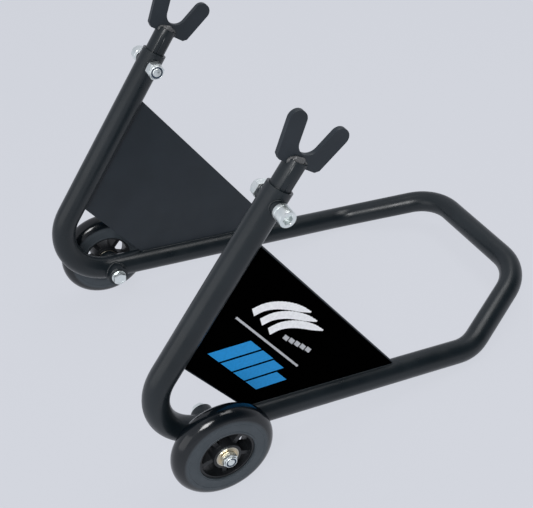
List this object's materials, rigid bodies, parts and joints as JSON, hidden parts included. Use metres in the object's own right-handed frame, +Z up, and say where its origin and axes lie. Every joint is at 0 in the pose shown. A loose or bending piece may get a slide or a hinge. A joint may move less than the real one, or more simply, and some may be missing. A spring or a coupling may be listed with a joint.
{
  "type": "paddock stand",
  "caption": "Bent-tube motorcycle paddock stand with two lift forks, two gusset plates and a pair of spoked wheels.",
  "frame": {"origin": "on the floor, at the centre of the stand's length and width", "axes": "+X to the stand's right, +Y to the front (elbow and wheel end), +Z up; the handle is at -Y"},
  "size_m": [0.37, 0.4725, 0.3614],
  "materials": {
    "frame_paint": "satin black powder coat",
    "vinyl_film": "black vinyl film",
    "zinc_plate": "bright zinc plate",
    "bearing_steel": "ground steel",
    "yellow_zinc": "yellow zinc plate",
    "tyre_rubber": "matte side walls, polished tread",
    "hub_plastic": "matte black moulding",
    "nylon": "nylon"
  },
  "bodies": {
    "frame": {"frame_tube": "frame_paint", "gusset_left": "frame_paint", "gusset_film_left": "vinyl_film", "axle_bosses_left": "frame_paint", "fork_bosses_left": "frame_paint", "axle_bolt_left": "zinc_plate", "axle_nut_left": "zinc_plate", "bearing_inner_rings_left": "bearing_steel", "bearing_sleeve_left": "bearing_steel", "fork_plate_left": "frame_paint", "fork_stem_left": "frame_paint", "fork_bolt_left": "zinc_plate", "fork_nut_left": "zinc_plate", "gusset_right": "frame_paint", "gusset_film_right": "vinyl_film", "axle_bosses_right": "frame_paint", "fork_bosses_right": "frame_paint", "axle_bolt_right": "zinc_plate", "axle_nut_right": "zinc_plate", "bearing_inner_rings_right": "bearing_steel", "bearing_sleeve_right": "bearing_steel", "fork_plate_right": "frame_paint", "fork_stem_right": "frame_paint", "fork_bolt_right": "zinc_plate", "fork_nut_right": "zinc_plate", "axle_head_washers": "zinc_plate", "fork_head_washers": "zinc_plate", "axle_spacers": "zinc_plate", "lock_inserts": "nylon"},
    "left_wheel": {"wheel_hub_left": "hub_plastic", "tyre_left": "tyre_rubber", "bearing_outer_rings_left": "bearing_steel", "bearing_balls_left": "bearing_steel", "bearing_shields_left": "yellow_zinc"},
    "right_wheel": {"wheel_hub_right": "hub_plastic", "tyre_right": "tyre_rubber", "bearing_outer_rings_right": "bearing_steel", "bearing_balls_right": "bearing_steel", "bearing_shields_right": "yellow_zinc"}
  },
  "joints": [
    {"name": "left_wheel_spin", "type": "hinge", "parent": "frame", "child": "left_wheel", "pos_m": [-0.165, 0.17668, 0.05], "axis": [1, 0, 0], "continuous": true},
    {"name": "right_wheel_spin", "type": "hinge", "parent": "frame", "child": "right_wheel", "pos_m": [0.165, 0.17668, 0.05], "axis": [1, 0, 0], "continuous": true}
  ]
}
